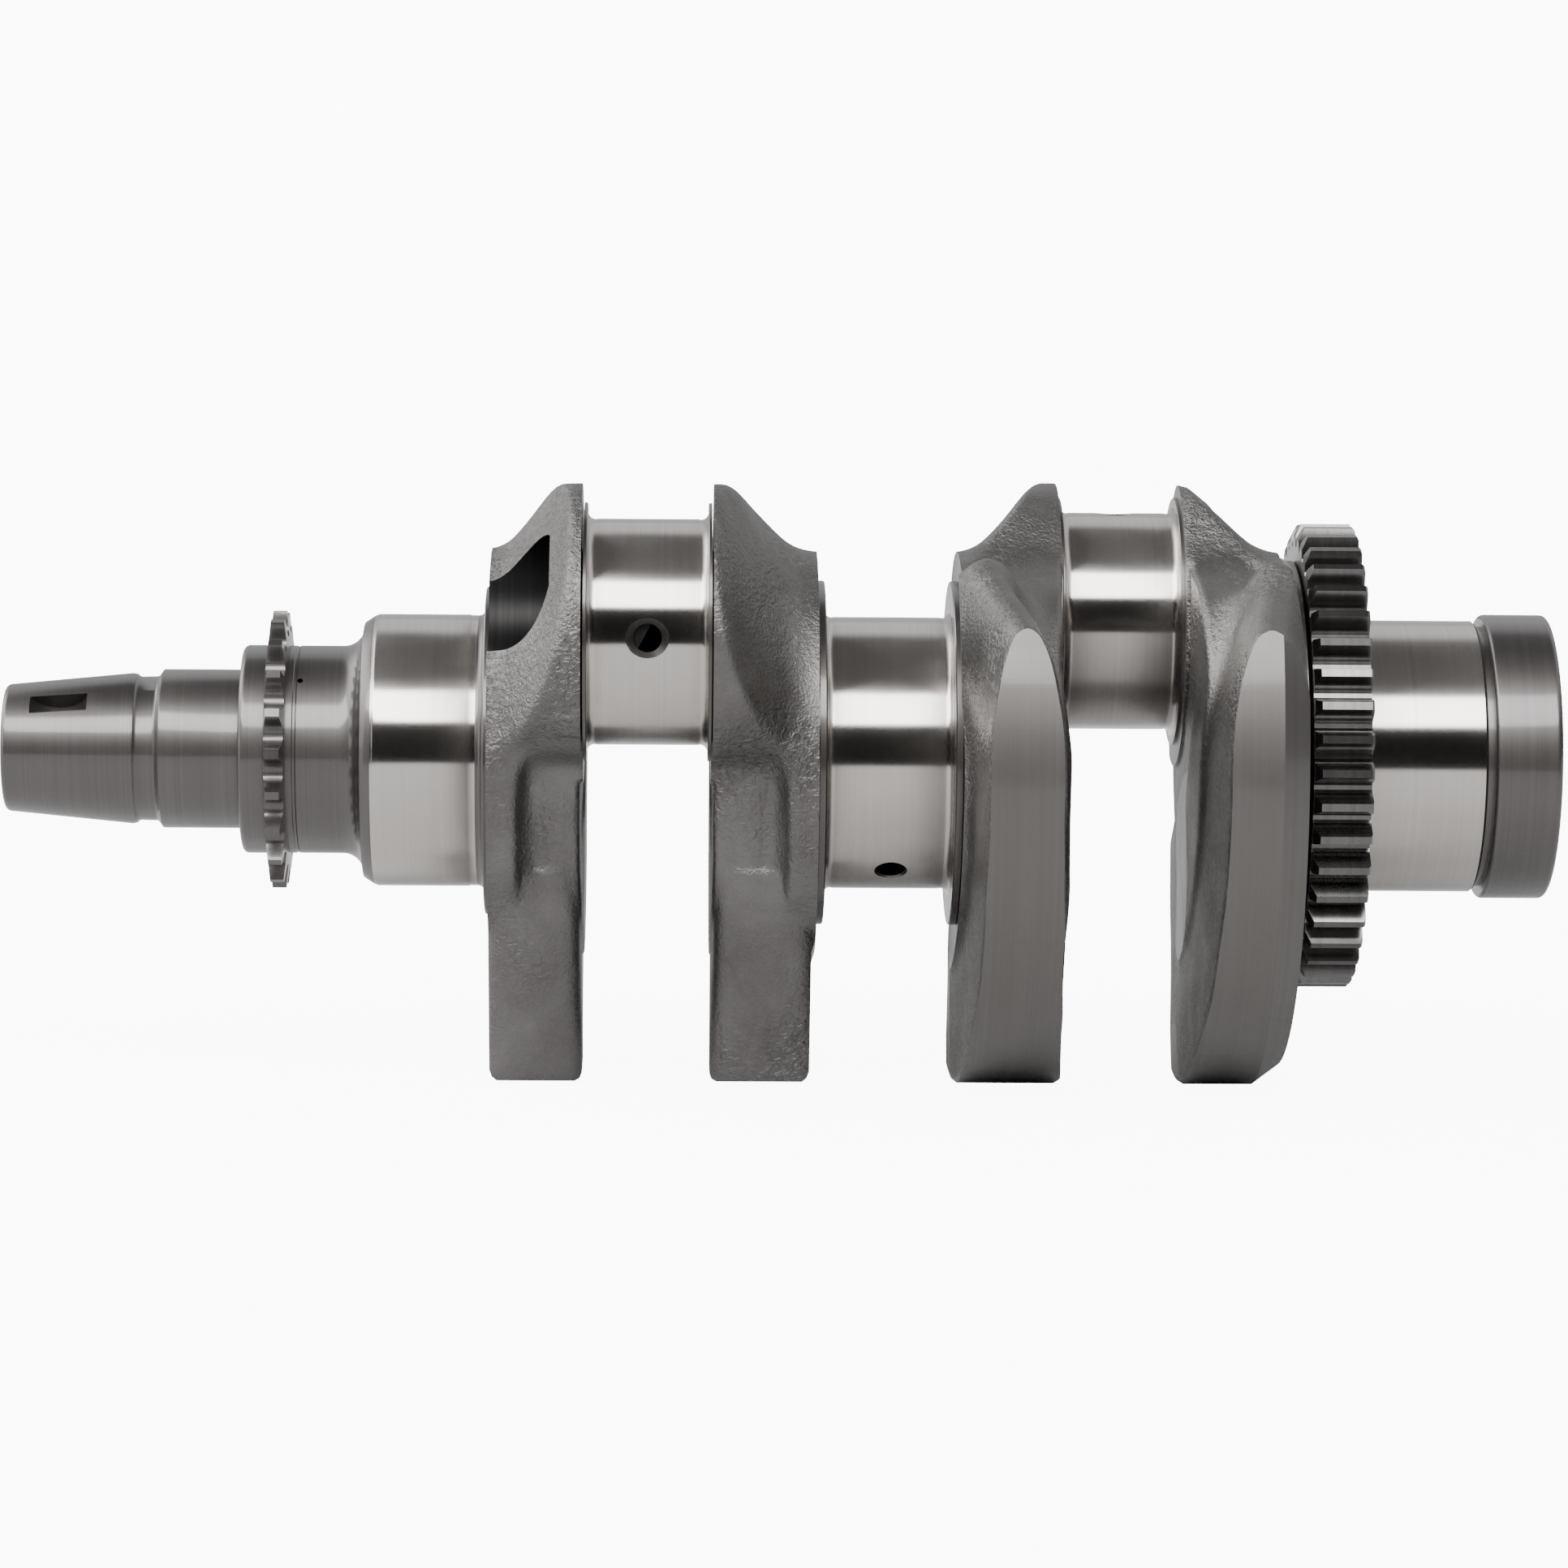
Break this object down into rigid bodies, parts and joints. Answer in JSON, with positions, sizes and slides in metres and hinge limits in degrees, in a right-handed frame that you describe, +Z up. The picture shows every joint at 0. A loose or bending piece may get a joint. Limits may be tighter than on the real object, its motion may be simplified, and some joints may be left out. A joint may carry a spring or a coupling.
{
  "type": "crankshaft",
  "caption": "Forged crankshaft of a parallel-twin engine, crankpins a quarter turn apart, with counterweights, cam-chain sprocket, balancer gear, tapered nose and rear flange.",
  "frame": {"origin": "bottom centre of the bounding box; the shaft axis is parallel to X, 69 mm above the origin, at the radius of the counterweight rims", "axes": "+X from the tapered nose to the rear flange, +Z up, both crankpins in the upper half at 45 degrees from vertical; crankpin 1 towards -Y, crankpin 2 towards +Y"},
  "size_m": [0.3218, 0.138, 0.125],
  "materials": {
    "forged_steel": "shot-blasted forging skin, dark warm grey, matt; rims and thrust pads machined",
    "ground_steel": "ground and lapped bearing surface, mirror-like with fine lines round the shaft",
    "turned_steel": "turned or ground, satin, fine lines round the shaft",
    "gear_steel": "cut and hardened teeth, satin, brighter on the tooth tips"
  },
  "bodies": {
    "root": {"web_1_cheek": "forged_steel", "web_1_counterweight": "forged_steel", "web_2_cheek": "forged_steel", "web_2_counterweight": "forged_steel", "web_3_cheek": "forged_steel", "web_3_counterweight": "forged_steel", "web_4_cheek": "forged_steel", "web_4_counterweight": "forged_steel", "front_main_journal": "ground_steel", "centre_main_journal": "ground_steel", "rear_main_journal": "ground_steel", "crankpin_1": "ground_steel", "crankpin_2": "ground_steel", "nose_taper": "turned_steel", "nose_seal_journal": "turned_steel", "sprocket_shoulder": "turned_steel", "front_neck": "turned_steel", "front_thrust_collar": "turned_steel", "centre_collar_front": "turned_steel", "centre_collar_rear": "turned_steel", "gear_shoulder": "turned_steel", "gear_seat": "turned_steel", "rear_flange": "turned_steel", "timing_sprocket": "gear_steel", "balancer_drive_gear": "gear_steel"}
  },
  "joints": []
}
